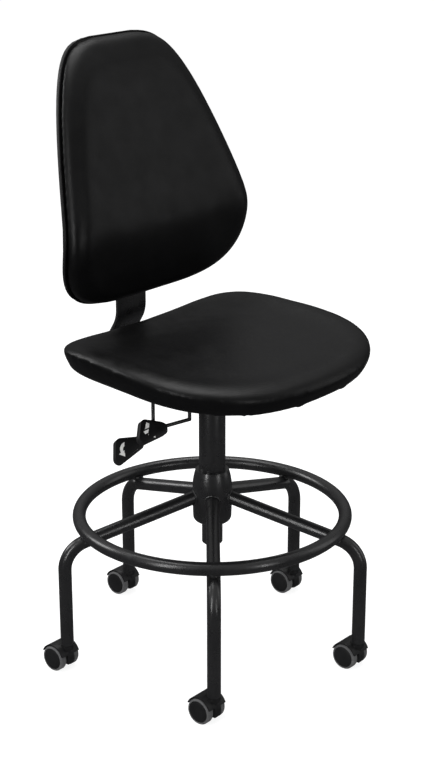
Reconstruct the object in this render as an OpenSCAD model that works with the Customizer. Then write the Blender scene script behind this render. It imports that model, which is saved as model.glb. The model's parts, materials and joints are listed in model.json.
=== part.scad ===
// Drafting chair: padded seat and back on a gas lift, five tube legs with a footring, twin-wheel casters.
// Millimetres, +Z up. The origin is on the column's axis at floor level; the sitter faces -Y.

/* [Base] */
// Turn of the base about the column
base_turn = -139.25; // [-180:0.25:180]
// Number of legs
leg_count = 5; // [5:1:5]
// Radius of the circle of leg feet
foot_circle_r = 293.5; // [250:0.5:360]
// Outside diameter of the leg tube
leg_d = 25.4; // [20:0.1:32]
// Wall of the leg tube
leg_wall = 2; // [1.2:0.1:3]
// Bend radius of the leg tube's centre line
leg_bend_r = 55; // [40:1:80]
// Fall of the leg's arm below level, in degrees
leg_fall = 15.6; // [5:0.1:25]
// Height of the arm's centre line where it leaves the hub
leg_root_z = 323; // [300:1:345]
// Height of the leg tube's lower end
leg_foot_z = 55; // [50:1:80]
// Centre-line radius of the footring
ring_r = 255.5; // [200:0.5:265]
// Diameter of the footring's tube
ring_d = 25.4; // [20:0.1:32]

/* [Hub and column] */
// Radius of the hub at its widest
hub_r = 38; // [36:0.5:50]
// Height of the hub's lower edge
hub_bottom_z = 272; // [260:1:285]
// Height of the hub's upper edge
hub_top_z = 378; // [365:1:400]
// Outside diameter of the column tube
column_d = 50.8; // [46:0.1:54]
// Wall of the column tube
column_wall = 3; // [2:0.1:4]
// Outside diameter of the column's narrow foot
column_foot_d = 40; // [38:0.5:44]
// Height of the column's lower end
column_bottom_z = 225; // [200:1:240]

/* [Gas lift] */
// Outside diameter of the gas cylinder
cylinder_d = 28; // [26:0.1:30]
// Wall of the gas cylinder
cylinder_wall = 2; // [1.5:0.1:3]
// Diameter of the piston rod
rod_d = 10; // [8:0.1:12]
// Length of the guide bush
bush_l = 70; // [50:1:80]
// Radial running clearance
running_gap = 0.05; // [0.03:0.01:0.08]

/* [Casters] */
// Diameter of the caster wheels
wheel_d = 50; // [45:0.5:55]
// Width of one wheel
wheel_w = 16.5; // [14:0.5:20]
// Gap between the two wheels' inner faces
wheel_gap = 18; // [17:0.5:22]
// Radial thickness of the tread
tread_t = 4.2; // [3:0.1:6]
// Distance from the swivel axis back to the axle
caster_trail = 18; // [15:0.5:22]
// Diameter of the swivel stem
stem_d = 10; // [8:0.5:11]
// Diameter of the wheel axle
axle_d = 6; // [5:0.5:8]

/* [Seat] */
// Width of the seat
seat_w = 545; // [440:1:580]
// Depth of the seat from front to rear
seat_depth = 463; // [380:1:490]
// How far the seat's front edge is ahead of the column
seat_front = 273; // [230:1:300]
// Height of the seat board's underside
board_z = 590; // [580:1:640]
// Thickness of the seat board
board_t = 12; // [9:1:18]
// Height of the cushion's rolled edge above the board's underside, beside the column
seat_edge_h = 53; // [46:1:66]
// Height of the cushion's side wall
seat_wall_h = 36; // [24:1:45]
// Height of the rolled edge above the side wall
bolster_h = 12; // [6:1:20]
// Spacing of an armrest's two screw holes
arm_hole_pitch = 80; // [60:1:100]
// Distance of the armrest holes from the centre line
arm_hole_x = 165; // [140:1:180]
// Diameter of the armrest holes
arm_hole_d = 6.6; // [6:0.1:9]

/* [Mechanism] */
// Outside width across the mechanism's cheeks
cheek_span = 92; // [88:1:110]
// Thickness of the mechanism's steel
steel_t = 3; // [2:0.5:4]
// Distance of the back pivot behind the column
back_pivot_y = 125; // [110:1:135]
// Depth of the back pivot below the seat board
back_pivot_drop = 42; // [38:1:46]
// Diameter of the back pivot pin
pivot_pin_d = 12; // [10:0.5:14]
// Distance of the lever pivots from the centre line
lever_pivot_x = 24; // [20:0.5:28]
// Diameter of the lever rods
lever_rod_d = 7; // [5:0.5:8]
// Length of the lever paddles
paddle_l = 78; // [60:1:100]
// Width of the lever paddles
paddle_w = 38; // [28:1:40]
// Thickness of the lever paddles
paddle_t = 11; // [9:0.5:13]

/* [Back] */
// Width of the flat back bar
bar_w = 80; // [50:1:84]
// Thickness of the back bar
bar_t = 6; // [5:0.5:8]
// Half the back's width at its widest
back_half_w = 245.5; // [200:0.5:260]
// Height of the back's lower edge
back_bottom_z = 700; // [690:1:710]
// Height of the back's widest level
back_wide_z = 842.5; // [820:0.5:860]
// Height of the back's upper edge
back_top_z = 1171; // [1100:1:1250]
// How far the sides wrap forward
back_wrap = 18; // [10:1:30]
// Depth of the back's cushion
cushion_depth = 38; // [30:1:46]
// Wall of the outer shell
shell_t = 4; // [3:0.5:6]
// Diameter of the height clamp's knob
knob_d = 46; // [36:1:60]

/* [Hidden] */
$fn = 64;
eps = 0.01;

black_steel = [0.10, 0.10, 0.11];
black_plastic = [0.07, 0.07, 0.075];
black_vinyl = [0.05, 0.05, 0.055];
grey_tread = [0.42, 0.42, 0.43];
bright_steel = [0.70, 0.70, 0.72];
zinc = [0.62, 0.62, 0.60];
birch = [0.78, 0.66, 0.48];
nylon = [0.85, 0.85, 0.82];
rubber_black = [0.09, 0.09, 0.09];

leg_step = 360 / leg_count;
leg_bore_r = leg_d / 2 - leg_wall;
// A bend is a hair thicker than the straight tube, which runs a little way into it.
bend_swell = 0.05;
bend_lap = 1.5;

// The arm meets the bend where the bend's end lands on the circle of feet.
bend_centre_r = foot_circle_r - leg_bend_r;
arm_end_r = bend_centre_r + leg_bend_r * sin(leg_fall);
arm_end_z = leg_root_z - (arm_end_r - hub_r) * tan(leg_fall);
bend_centre_z = arm_end_z - leg_bend_r * cos(leg_fall);
pocket_r = column_d / 2 + 4;
ring_leg_z = leg_root_z - (ring_r - hub_r) * tan(leg_fall);
ring_z = ring_leg_z + (leg_d / 2 + ring_d / 2) / cos(leg_fall) + 0.05;

plate_t = 4;
housing_top_z = board_z - plate_t;
lever_z = housing_top_z - 16.5;
back_pivot_z = board_z - back_pivot_drop;
cylinder_top_z = lever_z - 10.5;
taper_l = 52;
taper_bottom_z = cylinder_top_z - taper_l;
housing_bottom_z = taper_bottom_z + 2;
column_top_z = taper_bottom_z - 8;

// Barrel-shaped casting: bulged above, slightly drawn in below, with a rounded lower edge.
hub_wide_z = hub_bottom_z + 68;
hub_round = 11;
function hub_bulge(z) = z > hub_wide_z
    ? hub_r - 6 * pow((z - hub_wide_z) / (hub_top_z - hub_wide_z), 2)
    : hub_r - 1.5 * pow((hub_wide_z - z) / (hub_wide_z - hub_bottom_z), 2);
hub_side = [for (i = [0:12]) let (z = lerp(hub_bottom_z + hub_round, hub_top_z, i / 12)) [hub_bulge(z), z]];
hub_foot = [for (a = [0:15:75])
    [hub_side[0][0] - hub_round * (1 - sin(a)), hub_bottom_z + hub_round * (1 - cos(a))]];

column_step_z = hub_bottom_z + 24;
column_bore_r = column_d / 2 - column_wall;
foot_bore_r = column_foot_d / 2 - 3;
column_floor_z = column_bottom_z + 3;
column_floor_t = 4;
washer_z = column_floor_z + column_floor_t;
washer_t = 2.5;
bumper_z = washer_z + washer_t + 3;
bumper_h = 12;
cylinder_bottom_z = bumper_z + bumper_h + 0.3;
cylinder_r = cylinder_d / 2;
cylinder_bore_r = cylinder_r - cylinder_wall;
taper_top_r = cylinder_r - 1.3;
piston_top_z = cylinder_top_z - 32;
piston_h = 15;
button_d = 8;
button_top_z = cylinder_top_z + 6;
button_l = 25;
clip_t = 1.5;

wheel_r = wheel_d / 2;
disc_r = wheel_r - tread_t;
wheel_in_x = wheel_gap / 2;
hood_web_x = wheel_in_x - 1;
hood_arch_r = wheel_r + 1;
hood_wall = 2.5;
hood_half = wheel_in_x + wheel_w - 3;
hood_skirt = 10;
insert_flange_t = 2;
insert_l = 42;
hood_top_z = leg_foot_z - insert_flange_t - 0.5;
stem_bottom_z = 36;

// The seat's outline is widest here; the exponents square its front and rear corners.
seat_mid_y = -20;
seat_rear_y = seat_depth - seat_front;
seat_front_n = 2.38;
seat_rear_n = 5.8;
seat_flare = -0.00033;
// The seat's edge rises to the rear, falls away ahead and dips behind the sitter.
seat_slope = 0.058;
seat_fall = 0.0002;
seat_dip = 22;
seat_ridge_z = board_z + seat_edge_h;
rim_scale = 0.943;
bolt_x = 70;
bolt_ys = [-60, 50];
bolt_d = 6;
bolt_head_h = 5;
tee_r = 5;
board_scale = 0.8;
arm_mid_y = -10;

cheek_in_x = cheek_span / 2 - steel_t;
housing_front_y = -45;
housing_rear_y = back_pivot_y + 24;
plate_half_w = 90;
plate_front_y = -85;
plate_l = 190;
floor_l = 105;
lug_half = 6;
lug_gap = 8;
lever_ys = [0, 74];
lever_pin_d = 5;
height_drop = [-65, 0, lever_z - 72.5];
height_grip = [-130, 0, lever_z - 66.5];
back_drop = [-84, 74, lever_z - 86];
back_grip = [-150, 42, lever_z - 97];
paddle_tilt = 50;
height_droop = 2;
back_droop = 14;
paddle_bore_l = 26;

arm_z = back_pivot_z - 4;
arm_start_y = back_pivot_y + 15;
bar_low_r = 36;
bar_low_y = back_pivot_y + 78;
bar_lean = 32;
bar_slant_l = 38;
bar_high_r = 60;
bar_upright_l = 225;
// The back's face leans away above and below its fullest level.
back_rise_up = 0.323;
back_rise_low = 0.22;
back_rise_soft = 30;
back_front_y = 92.5;
back_crown = 8;
board_gap = 0.5;
back_board_t = 10;
board_front = cushion_depth + board_gap;
shell_inner = board_front + back_board_t + board_gap;
back_depth = shell_inner + shell_t;
rings_pts = 72;
// The back's flat faces share these draw-ins, so that they stay parallel.
face_scales = [0.12, 0.25, 0.38, 0.5, 0.7, 0.84, 0.9];
function outward(d) = [for (s = face_scales) [s, d]];
function inward(d) = [for (i = [len(face_scales) - 1:-1:0]) [face_scales[i], d]];

// The bar's bends: up and forward behind the seat, then upright behind the back.
low_centre = [bar_low_y, arm_z + bar_low_r];
low_end = low_centre + bar_low_r * [cos(bar_lean), sin(bar_lean)];
slant_end = low_end + bar_slant_l * [-sin(bar_lean), cos(bar_lean)];
high_centre = slant_end + bar_high_r * [cos(bar_lean), sin(bar_lean)];
upright_y = high_centre[0] - bar_high_r;
upright_z = high_centre[1];
upright_top_z = upright_z + bar_upright_l;
block_w = 2 * cheek_in_x - 2;
block_plate_t = 8;
block_plate_end_y = back_pivot_y + 67;
bar_bolt_xs = [-22, 22];
bar_bolt_ys = [back_pivot_y + 30, back_pivot_y + 55];
bar_bolt_d = 8;
bar_bolt_head_h = 6;

// The bracket slides on the bar's upright; its flange follows the shell's rear face.
bracket_z = 725;
bracket_h = 110;
bracket_half = bar_w / 2 + 8;
bracket_rear_y = upright_y + 14;
flange_half = bracket_half + 16;
flange_rear_y = upright_y - bar_t / 2 - 4;
slide_gap = 0.4;
flange_gap = 0.6;
stud_d = 8;
stud_z = bracket_z + 60;
stud_front_y = upright_y - bar_t / 2 - 2;
screw_d = 6;
screw_head_h = 3;
screw_places = [for (x = [-1, 1], z = [28, 88]) [x * (bracket_half + 8), bracket_z + z]];

function lerp(a, b, t) = a + (b - a) * t;
function power(v, n) = sign(v) * pow(abs(v), n);

// Faces of a closed skin: a start point, a stack of rings and an end point.
function skin_faces(rings, n) = concat(
    [for (i = [0:n - 1]) [0, 1 + (i + 1) % n, 1 + i]],
    [for (j = [0:rings - 2], i = [0:n - 1])
        [1 + j * n + i, 1 + j * n + (i + 1) % n, 1 + (j + 1) * n + i]],
    [for (j = [0:rings - 2], i = [0:n - 1])
        [1 + j * n + (i + 1) % n, 1 + (j + 1) * n + (i + 1) % n, 1 + (j + 1) * n + i]],
    [for (i = [0:n - 1]) [1 + rings * n, 1 + (rings - 1) * n + i, 1 + (rings - 1) * n + (i + 1) % n]]
);

// A rod of round bar through a list of points, with slightly swollen bends.
module bent_rod(points, d) {
    for (i = [0:len(points) - 2]) {
        along = points[i + 1] - points[i];
        length = norm(along);
        translate(points[i])
            rotate([0, acos(along[2] / length), atan2(along[1], along[0])])
                cylinder(h = length, d = d);
    }
    for (i = [1:len(points) - 2])
        translate(points[i]) sphere(d = d + 2 * bend_swell);
}

module at_leg(i) {
    rotate([0, 0, base_turn + leg_step * (i - 1)]) children();
}

// Places children at a leg's foot, with +Y to the chair's rear.
module at_foot(i) {
    turn = base_turn + leg_step * (i - 1);
    translate([foot_circle_r * cos(turn), foot_circle_r * sin(turn), 0]) children();
}

module tube(length) {
    difference() {
        cylinder(h = length, d = leg_d);
        translate([0, 0, -1]) cylinder(h = length + 2, r = leg_bore_r);
    }
}

// One bent tube: a falling arm, the bend, and an upright that ends in the caster's plug.
module leg(i) {
    color(black_steel) at_leg(i) {
        translate([pocket_r, 0, leg_root_z - (pocket_r - hub_r) * tan(leg_fall)])
            rotate([0, 90 + leg_fall, 0])
                tube((arm_end_r - pocket_r) / cos(leg_fall) + bend_lap);
        translate([bend_centre_r, 0, bend_centre_z])
            rotate([90, 0, 0])
                rotate_extrude(angle = 90 - leg_fall)
                    translate([leg_bend_r, 0]) difference() {
                        circle(r = leg_d / 2 + bend_swell);
                        circle(r = leg_bore_r - bend_swell);
                    }
        translate([foot_circle_r, 0, leg_foot_z]) tube(bend_centre_z - leg_foot_z + bend_lap);
    }
}

module hub() {
    color(black_steel)
        difference() {
            rotate_extrude() polygon(concat(
                [[column_foot_d / 2, hub_bottom_z]], hub_foot, hub_side,
                [[column_d / 2, hub_top_z], [column_d / 2, column_step_z], [column_foot_d / 2, column_step_z]]));
            for (i = [1:leg_count]) at_leg(i)
                translate([pocket_r, 0, leg_root_z - (pocket_r - hub_r) * tan(leg_fall)])
                    rotate([0, 90 + leg_fall, 0])
                        cylinder(h = 30, r = leg_d / 2);
        }
}

module footring() {
    color(black_steel)
        translate([0, 0, ring_z])
            rotate_extrude($fn = 96) translate([ring_r, 0]) circle(d = ring_d);
}

// Plastic plug in each leg's lower end, which grips the caster's stem.
module leg_inserts() {
    color(black_plastic)
        for (i = [1:leg_count]) at_foot(i)
            difference() {
                union() {
                    translate([0, 0, leg_foot_z - insert_flange_t])
                        cylinder(h = insert_flange_t, r = leg_d / 2);
                    translate([0, 0, leg_foot_z])
                        cylinder(h = insert_l, r = leg_bore_r);
                }
                translate([0, 0, leg_foot_z - insert_flange_t - 1])
                    cylinder(h = insert_l + insert_flange_t + 2, d = stem_d);
            }
}

module caster_stems() {
    color(bright_steel)
        for (i = [1:leg_count]) at_foot(i)
            translate([0, 0, stem_bottom_z])
                cylinder(h = leg_foot_z + insert_l - 4 - stem_bottom_z, d = stem_d);
}

// A web between the wheels carries the stem and the axle, and an arch covers the wheels.
module caster_hood(i) {
    outer_r = hood_arch_r + hood_wall;
    color(black_plastic) at_foot(i)
        difference() {
            union() {
                translate([0, caster_trail, wheel_r]) rotate([0, -90, 0]) {
                    difference() {
                        translate([0, 0, -hood_web_x]) cylinder(h = 2 * hood_web_x, r = outer_r);
                        translate([-2 * outer_r - hood_skirt, -outer_r - 1, -outer_r])
                            cube([2 * outer_r, 2 * outer_r + 2, 2 * outer_r]);
                    }
                    difference() {
                        translate([0, 0, -hood_half]) cylinder(h = 2 * hood_half, r = outer_r);
                        translate([0, 0, -hood_half - 1]) cylinder(h = 2 * hood_half + 2, r = hood_arch_r);
                        translate([hood_skirt - 2 * outer_r, -outer_r - 1, -hood_half - 1])
                            cube([2 * outer_r, 2 * outer_r + 2, 2 * hood_half + 2]);
                    }
                }
                translate([0, 0, stem_bottom_z - 4]) cylinder(h = hood_top_z - stem_bottom_z + 4, r = hood_web_x);
                difference() {
                    translate([0, 0, hood_top_z - 7]) cylinder(h = 7, r = leg_d / 2);
                    translate([-leg_d, caster_trail, wheel_r]) rotate([0, 90, 0])
                        cylinder(h = 2 * leg_d, r = hood_arch_r);
                }
            }
            translate([0, 0, hood_top_z]) cylinder(h = outer_r, r = leg_d / 2 + 0.8);
            translate([0, 0, stem_bottom_z - 1]) cylinder(h = outer_r, r = stem_d / 2 + running_gap);
            translate([-hood_half, caster_trail, wheel_r]) rotate([0, 90, 0])
                cylinder(h = 2 * hood_half, r = axle_d / 2 + running_gap);
        }
}

module caster_axle(i) {
    color(bright_steel) at_foot(i)
        translate([-(wheel_in_x + wheel_w - 4), caster_trail, wheel_r]) rotate([0, 90, 0])
            cylinder(h = 2 * (wheel_in_x + wheel_w - 4), d = axle_d);
}

// Both sides of a caster are alike, so one wheel's turned profile is mirrored.
module wheel_pair(i) {
    at_foot(i) translate([0, caster_trail, wheel_r])
        for (side = [0, 1]) mirror([side, 0, 0])
            translate([wheel_in_x, 0, 0]) rotate([0, 90, 0]) rotate_extrude() children();
}

module wheel_discs(i) {
    color(black_plastic) wheel_pair(i)
        difference() {
            polygon([
                [0, 0], [7, 0], [7, 3], [disc_r - 3, 3], [disc_r - 3, 0], [disc_r, 0],
                [disc_r, wheel_w - 2], [disc_r * 0.85, wheel_w - 0.9], [disc_r * 0.6, wheel_w - 0.3], [0, wheel_w]]);
            translate([-1, -1]) square([axle_d / 2 + 1, wheel_w - 4 + 1]);
        }
}

module wheel_treads(i) {
    color(grey_tread) wheel_pair(i)
        polygon([
            [disc_r + 0.02, 0.5], [wheel_r - 1.2, 0.5], [wheel_r, 2.2], [wheel_r, wheel_w - 4],
            [wheel_r - 1.6, wheel_w - 1.6], [disc_r + 0.8, wheel_w - 1], [disc_r + 0.02, wheel_w - 1.5]]);
}

module column_tube() {
    color(black_steel)
        rotate_extrude() polygon([
            [rod_d / 2 + running_gap, column_floor_z], [foot_bore_r, column_floor_z],
            [foot_bore_r, column_bottom_z], [column_foot_d / 2 - 3, column_bottom_z],
            [column_foot_d / 2, column_bottom_z + 3], [column_foot_d / 2, column_step_z],
            [column_d / 2, column_step_z], [column_d / 2, column_top_z - 1.5],
            [column_d / 2 - 1.5, column_top_z], [column_bore_r, column_top_z],
            [column_bore_r, column_step_z + 10], [foot_bore_r, column_step_z + 4],
            [foot_bore_r, column_floor_z + column_floor_t],
            [rod_d / 2 + running_gap, column_floor_z + column_floor_t]]);
}

module guide_bush() {
    color(nylon)
        translate([0, 0, column_top_z - bush_l])
            difference() {
                cylinder(h = bush_l, r = column_bore_r);
                translate([0, 0, -1]) cylinder(h = bush_l + 2, r = cylinder_r + running_gap);
            }
}

module piston_rod() {
    color(bright_steel)
        difference() {
            translate([0, 0, column_bottom_z - 1])
                cylinder(h = piston_top_z - 3 - column_bottom_z + 1, d = rod_d);
            translate([0, 0, column_floor_z - clip_t - 0.1])
                difference() {
                    cylinder(h = clip_t, d = rod_d + 2);
                    translate([0, 0, -1]) cylinder(h = clip_t + 2, r = rod_d / 2 - 1);
                }
        }
}

module rod_clip() {
    color(zinc)
        translate([0, 0, column_floor_z - clip_t - 0.1])
            difference() {
                cylinder(h = clip_t, r = rod_d / 2 + 3);
                translate([0, 0, -1]) cylinder(h = clip_t + 2, r = rod_d / 2 - 1);
                translate([0, -2.5, -1]) cube([20, 5, clip_t + 2]);
            }
}

module piston() {
    color(bright_steel)
        difference() {
            translate([0, 0, piston_top_z - piston_h]) cylinder(h = piston_h, r = cylinder_bore_r - running_gap);
            translate([0, 0, piston_top_z - piston_h - 1]) cylinder(h = piston_h - 2, d = rod_d);
        }
}

module thrust_washer() {
    color(zinc)
        translate([0, 0, washer_z + 0.05])
            difference() {
                cylinder(h = washer_t, r = foot_bore_r - 1);
                translate([0, 0, -1]) cylinder(h = washer_t + 2, d = rod_d);
            }
}

module rubber_bumper() {
    color(rubber_black)
        translate([0, 0, washer_z + washer_t + 0.05])
            difference() {
                cylinder(h = bumper_z + bumper_h - washer_z - washer_t - 0.05, r = cylinder_r - 1);
                translate([0, 0, -1]) cylinder(h = bumper_h + 10, d = rod_d);
            }
}

// Pressure tube: a gland at the foot, a tapered nose that wedges into the mechanism, a valve bore on top.
module gas_cylinder() {
    color(black_steel)
        difference() {
            union() {
                translate([0, 0, cylinder_bottom_z])
                    cylinder(h = taper_bottom_z - cylinder_bottom_z, r = cylinder_r);
                translate([0, 0, taper_bottom_z])
                    cylinder(h = cylinder_top_z - taper_bottom_z, r1 = cylinder_r, r2 = taper_top_r);
            }
            translate([0, 0, cylinder_bottom_z - 1])
                cylinder(h = 20, r = rod_d / 2 + running_gap);
            translate([0, 0, cylinder_bottom_z + 14])
                cylinder(h = cylinder_top_z - 14 - cylinder_bottom_z - 14, r = cylinder_bore_r);
            translate([0, 0, cylinder_top_z - 20])
                cylinder(h = 30, r = button_d / 2 + running_gap);
        }
}

module valve_button() {
    color(bright_steel)
        translate([0, 0, button_top_z - button_l]) cylinder(h = button_l, d = button_d);
}

// Folded and welded steel: seat plate, two cheeks, a floor and the tapered socket.
module mechanism_housing() {
    cheek_h = housing_top_z - housing_bottom_z;
    color(black_steel)
        difference() {
            union() {
                translate([-plate_half_w, plate_front_y, housing_top_z]) cube([2 * plate_half_w, plate_l, plate_t]);
                for (x = [-cheek_in_x - steel_t, cheek_in_x])
                    translate([x, 0, 0]) rotate([90, 0, 90]) linear_extrude(steel_t) polygon([
                        [housing_front_y, housing_top_z + 1], [housing_front_y, housing_bottom_z],
                        [housing_rear_y - 45, housing_bottom_z], [housing_rear_y - 22, housing_bottom_z - 9],
                        [housing_rear_y - 4, housing_bottom_z - 9], [housing_rear_y, housing_bottom_z - 2],
                        [housing_rear_y, housing_top_z + 1]]);
                translate([-cheek_in_x - 1, housing_front_y, housing_bottom_z])
                    cube([2 * cheek_in_x + 2, floor_l, steel_t]);
                translate([-cheek_in_x - 1, housing_front_y, housing_bottom_z])
                    cube([2 * cheek_in_x + 2, steel_t, cheek_h]);
                translate([0, 0, taper_bottom_z]) cylinder(h = cylinder_top_z - taper_bottom_z - 2, r = cylinder_r + 6);
                for (y = lever_ys, end = [-1, 1])
                    translate([-lever_pivot_x - lug_half, y + end * lug_gap - steel_t / 2, lever_z - lug_half])
                        cube([2 * lug_half, steel_t, housing_top_z - lever_z + lug_half + 1]);
            }
            translate([0, 0, taper_bottom_z - 1])
                cylinder(h = 1 + eps, r = cylinder_r);
            translate([0, 0, taper_bottom_z])
                cylinder(h = cylinder_top_z - taper_bottom_z, r1 = cylinder_r, r2 = taper_top_r);
            translate([-100, back_pivot_y, back_pivot_z]) rotate([0, 90, 0])
                cylinder(h = 200, d = pivot_pin_d);
            for (y = lever_ys) {
                translate([-lever_pivot_x, y - 20, lever_z]) rotate([-90, 0, 0])
                    cylinder(h = 40, d = lever_pin_d);
                translate([-cheek_span / 2 - 5, y - lever_rod_d / 2 - 1.5, lever_z - 9])
                    cube([20, lever_rod_d + 3, 18]);
            }
            for (x = [-bolt_x, bolt_x], y = bolt_ys)
                translate([x, y, housing_top_z - 1]) cylinder(h = plate_t + 2, d = bolt_d + 0.6);
        }
}

module lever_pins() {
    color(zinc)
        for (y = lever_ys)
            translate([-lever_pivot_x, y - 11, lever_z]) rotate([-90, 0, 0])
                cylinder(h = 22, d = lever_pin_d);
}

module back_pivot_pin() {
    color(zinc)
        translate([-cheek_span / 2 - 4, back_pivot_y, back_pivot_z]) rotate([0, 90, 0]) {
            cylinder(h = cheek_span + 8, d = pivot_pin_d);
            for (z = [0, cheek_span + 4.5]) translate([0, 0, z]) cylinder(h = 3.5, r = pivot_pin_d / 2 + 3);
        }
}

// A point on the seat's outline at angle a, drawn in by scale s.
function seat_point(a, s) = let (
    n = sin(a) < 0 ? seat_front_n : seat_rear_n,
    half = sin(a) < 0 ? seat_mid_y + seat_front : seat_rear_y - seat_mid_y,
    y = power(sin(a), 2 / n) * half,
    x = power(cos(a), 2 / n) * seat_w / 2 * (1 + seat_flare * y)
) [s * x, seat_mid_y + s * y];
function seat_ring(s) = [for (i = [0:rings_pts - 1]) seat_point(i * 360 / rings_pts, s)];
function seat_rise(p) = seat_slope * p[1] - seat_fall * pow(p[1], 2)
    - seat_dip * (1 - pow(2 * p[0] / seat_w, 2)) * pow(max(0, (p[1] - seat_mid_y) / (seat_rear_y - seat_mid_y)), 2);

// Height above the rolled edge at each draw-in: the crown of the roll, then the shallow dish.
seat_top = [[1, 0], [0.985, 0.4], [0.96, 0.75], [0.91, 1], [0.85, 0.9], [0.77, 0.5], [0.66, 0.1], [0.45, -0.1], [0.2, -0.2]];

module seat_board() {
    color(birch)
        difference() {
            translate([0, 0, board_z])
                linear_extrude(board_t) polygon(seat_ring(board_scale));
            for (x = [-bolt_x, bolt_x], y = bolt_ys)
                translate([x, y, board_z - 1]) cylinder(h = board_t + 2, r = tee_r);
            for (x = [-arm_hole_x, arm_hole_x], end = [-1, 1])
                translate([x, arm_mid_y + end * arm_hole_pitch / 2, board_z - 1])
                    cylinder(h = board_t + 2, d = arm_hole_d);
        }
}

// Foam in its cover: it sits on the board and laps round the board's edge.
module seat_cushion() {
    under_z = board_z + board_t;
    low = [for (s = [0.3, 0.6, board_scale + 0.005])
        [for (p = seat_ring(s)) [p[0], p[1], under_z]]];
    lap = [for (v = [[board_scale + 0.006, 0], [board_scale + 0.03, 0], [0.89, 0.35], [rim_scale, 1]])
        [for (p = seat_ring(v[0])) [p[0], p[1], lerp(board_z + 1, seat_ridge_z - seat_wall_h + seat_rise(p), v[1])]]];
    wall = [for (t = [0.3, 0.65])
        [for (p = seat_ring(lerp(rim_scale, 1.006, t)))
            [p[0], p[1], seat_ridge_z - seat_wall_h * (1 - t) + seat_rise(p)]]];
    top = [for (v = seat_top)
        [for (p = seat_ring(v[0])) [p[0], p[1], seat_ridge_z + seat_rise(p) + bolster_h * v[1]]]];
    rings = concat(low, lap, wall, top);
    mid = seat_ridge_z + seat_rise([0, seat_mid_y]) - bolster_h * 0.2;
    color(black_vinyl)
        polyhedron(
            points = concat([[0, seat_mid_y, under_z]], [for (r = rings) each r], [[0, seat_mid_y, mid]]),
            faces = skin_faces(len(rings), rings_pts));
}

module seat_bolts() {
    color(zinc)
        for (x = [-bolt_x, bolt_x], y = bolt_ys) {
            translate([x, y, housing_top_z - bolt_head_h]) cylinder(h = bolt_head_h, d = 11, $fn = 6);
            translate([x, y, housing_top_z]) cylinder(h = plate_t + board_t - 2, d = bolt_d);
        }
}

module tee_nuts() {
    color(zinc)
        for (x = [-bolt_x, bolt_x], y = bolt_ys)
            difference() {
                translate([x, y, board_z + eps]) cylinder(h = board_t - 0.5, r = tee_r);
                translate([x, y, board_z - 1]) cylinder(h = board_t - 0.5, d = bolt_d);
            }
}

module lever_rod(points) {
    boss_l = 10;
    color(black_steel)
        difference() {
            union() {
                bent_rod(points, lever_rod_d);
                translate([-lever_pivot_x, points[0][1] - boss_l / 2, lever_z]) rotate([-90, 0, 0])
                    cylinder(h = boss_l, r = lever_pin_d / 2 + 2.5);
            }
            translate([-lever_pivot_x, points[0][1] - boss_l, lever_z]) rotate([-90, 0, 0])
                cylinder(h = 2 * boss_l, r = lever_pin_d / 2 + running_gap);
        }
}

// The rod's end, along the paddle's length.
function rod_end(grip, droop) = grip - paddle_bore_l * [cos(droop), 0, sin(droop)];

// Moulded grip: long axis outward, tilted about the rod, with a slanted outer end.
module paddle(grip, droop) {
    lobes = [
        [-18, -1, paddle_w * 0.35],
        [-paddle_l * 0.6, paddle_w * 0.38, paddle_w * 0.33],
        [-paddle_l + paddle_w * 0.27, -paddle_w * 0.12, paddle_w * 0.27]];
    color(black_plastic)
        translate(grip) rotate([paddle_tilt, -droop, 0])
            difference() {
                hull() {
                    translate([-4, 0, 0]) rotate([0, -90, 0]) cylinder(h = 6, d = paddle_t + 2, $fn = 32);
                    for (v = lobes)
                        translate([v[0], v[1], -paddle_t / 2]) cylinder(h = paddle_t, r = v[2], $fn = 32);
                }
                rotate([0, -90, 0]) cylinder(h = paddle_bore_l, d = lever_rod_d);
            }
}

module height_lever_rod() {
    lever_rod([[5, 0, lever_z], [height_drop[0], 0, lever_z], height_drop, height_grip,
        rod_end(height_grip, height_droop)]);
}

module height_paddle() {
    paddle(height_grip, height_droop);
}

module back_lever_rod() {
    lever_rod([[-12, lever_ys[1], lever_z], [back_drop[0], lever_ys[1], lever_z], back_drop, back_grip,
        rod_end(back_grip, back_droop)]);
}

module back_paddle() {
    paddle(back_grip, back_droop);
}

module pivot_block() {
    color(black_steel)
        difference() {
            union() {
                translate([-block_w / 2, back_pivot_y, back_pivot_z]) rotate([0, 90, 0])
                    cylinder(h = block_w, r = pivot_pin_d / 2 + 7);
                translate([-bar_w / 2 + 2, back_pivot_y, arm_z - bar_t / 2 - block_plate_t])
                    cube([bar_w - 4, block_plate_end_y - back_pivot_y, block_plate_t]);
            }
            translate([-block_w / 2 - 1, back_pivot_y, back_pivot_z]) rotate([0, 90, 0])
                cylinder(h = block_w + 2, r = pivot_pin_d / 2 + running_gap);
            for (x = bar_bolt_xs, y = bar_bolt_ys)
                translate([x, y, arm_z - 20]) cylinder(h = 40, d = bar_bolt_d);
        }
}

module bar_bolts() {
    color(zinc)
        for (x = bar_bolt_xs, y = bar_bolt_ys) {
            translate([x, y, arm_z - bar_t / 2 - block_plate_t - bar_bolt_head_h])
                cylinder(h = bar_bolt_head_h, d = 14, $fn = 6);
            translate([x, y, arm_z - bar_t / 2 - block_plate_t])
                cylinder(h = block_plate_t + bar_t + 2, d = bar_bolt_d);
        }
}

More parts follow.
